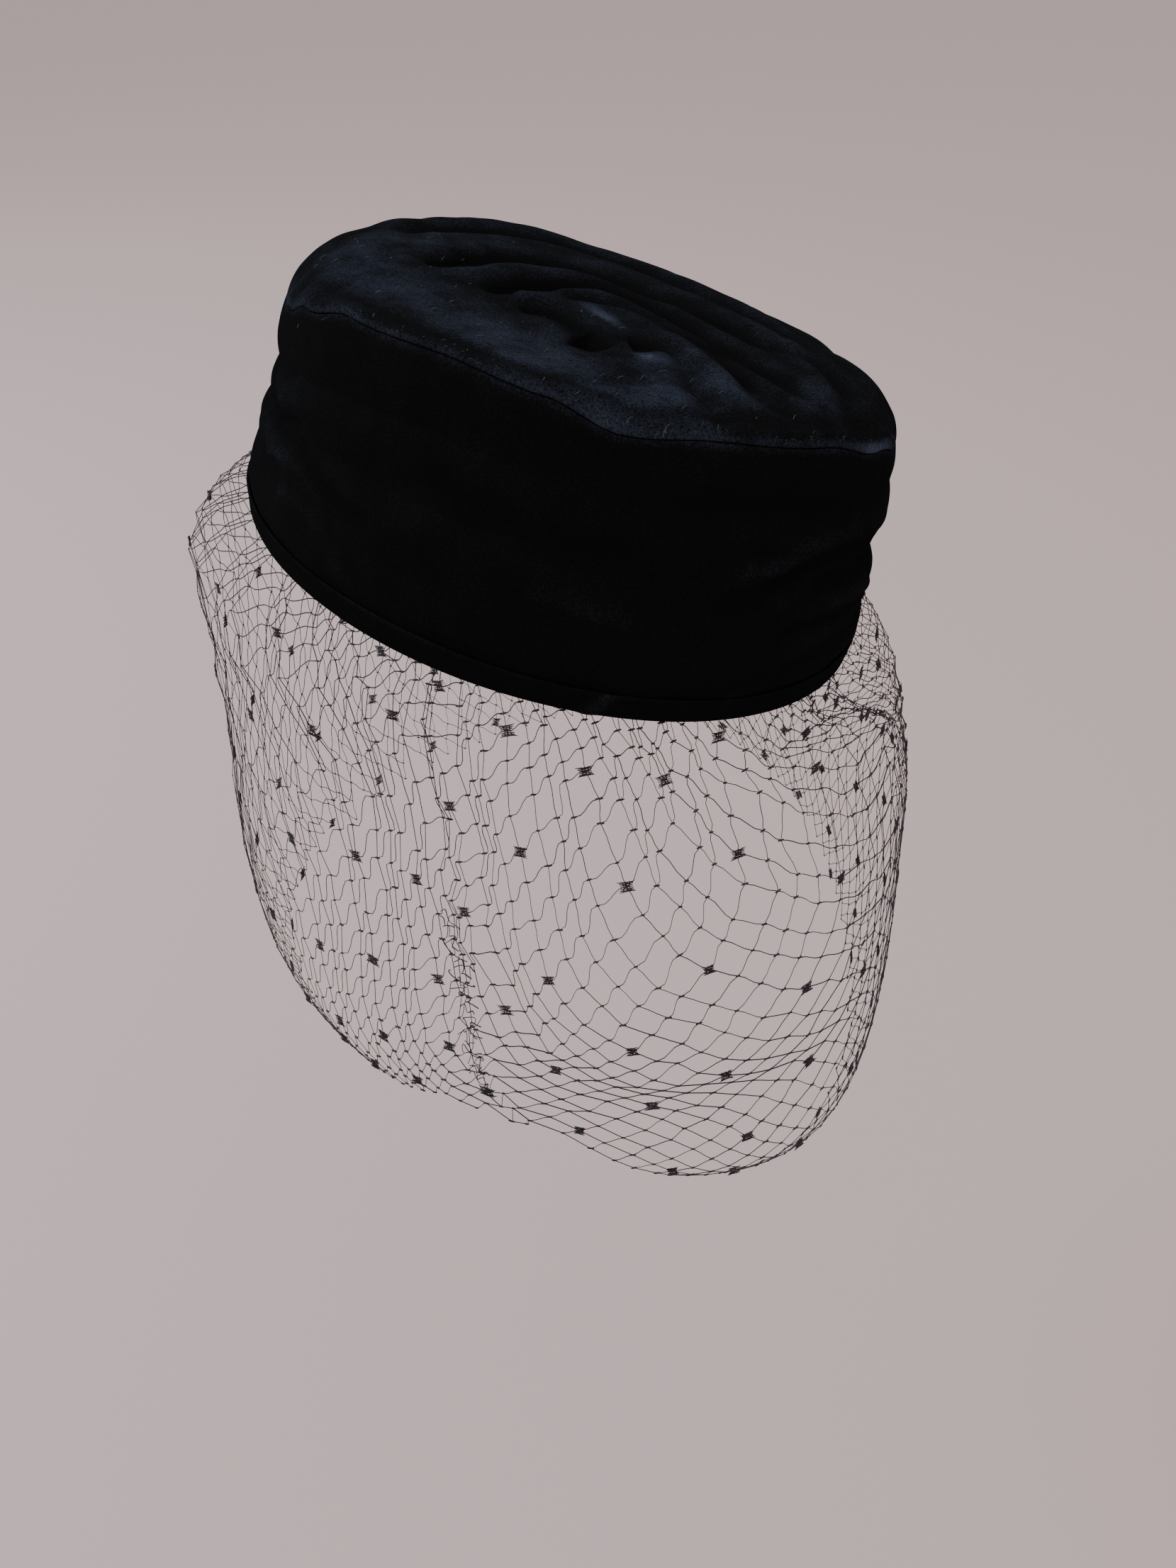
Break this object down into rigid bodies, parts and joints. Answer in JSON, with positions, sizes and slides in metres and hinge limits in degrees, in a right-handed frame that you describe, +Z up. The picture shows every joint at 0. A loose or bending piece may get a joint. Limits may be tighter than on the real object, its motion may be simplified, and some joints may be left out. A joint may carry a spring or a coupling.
{
  "type": "pillbox hat with net veil",
  "caption": "Soft pillbox hat of draped velvet, open below for the head, with a narrow rim binding and a gathered net veil that hangs over the face.",
  "frame": {"origin": "middle of the head opening, in the plane of the hat's rim", "axes": "-Y is the wearer's front, +X the wearer's left, +Z straight up; the hat's own axis leans 10.7 degrees from +Z"},
  "size_m": [0.2228, 0.2557, 0.2678],
  "materials": {
    "velvet": "black velvet pile, blue-grey sheen on the folds",
    "velvet_binding": "black velvet strip",
    "net": "black knotted net with small square dots"
  },
  "bodies": {
    "root": {"crown_side": "velvet", "crown_tip": "velvet", "rim_binding": "velvet_binding", "veil_net": "net"}
  },
  "joints": []
}
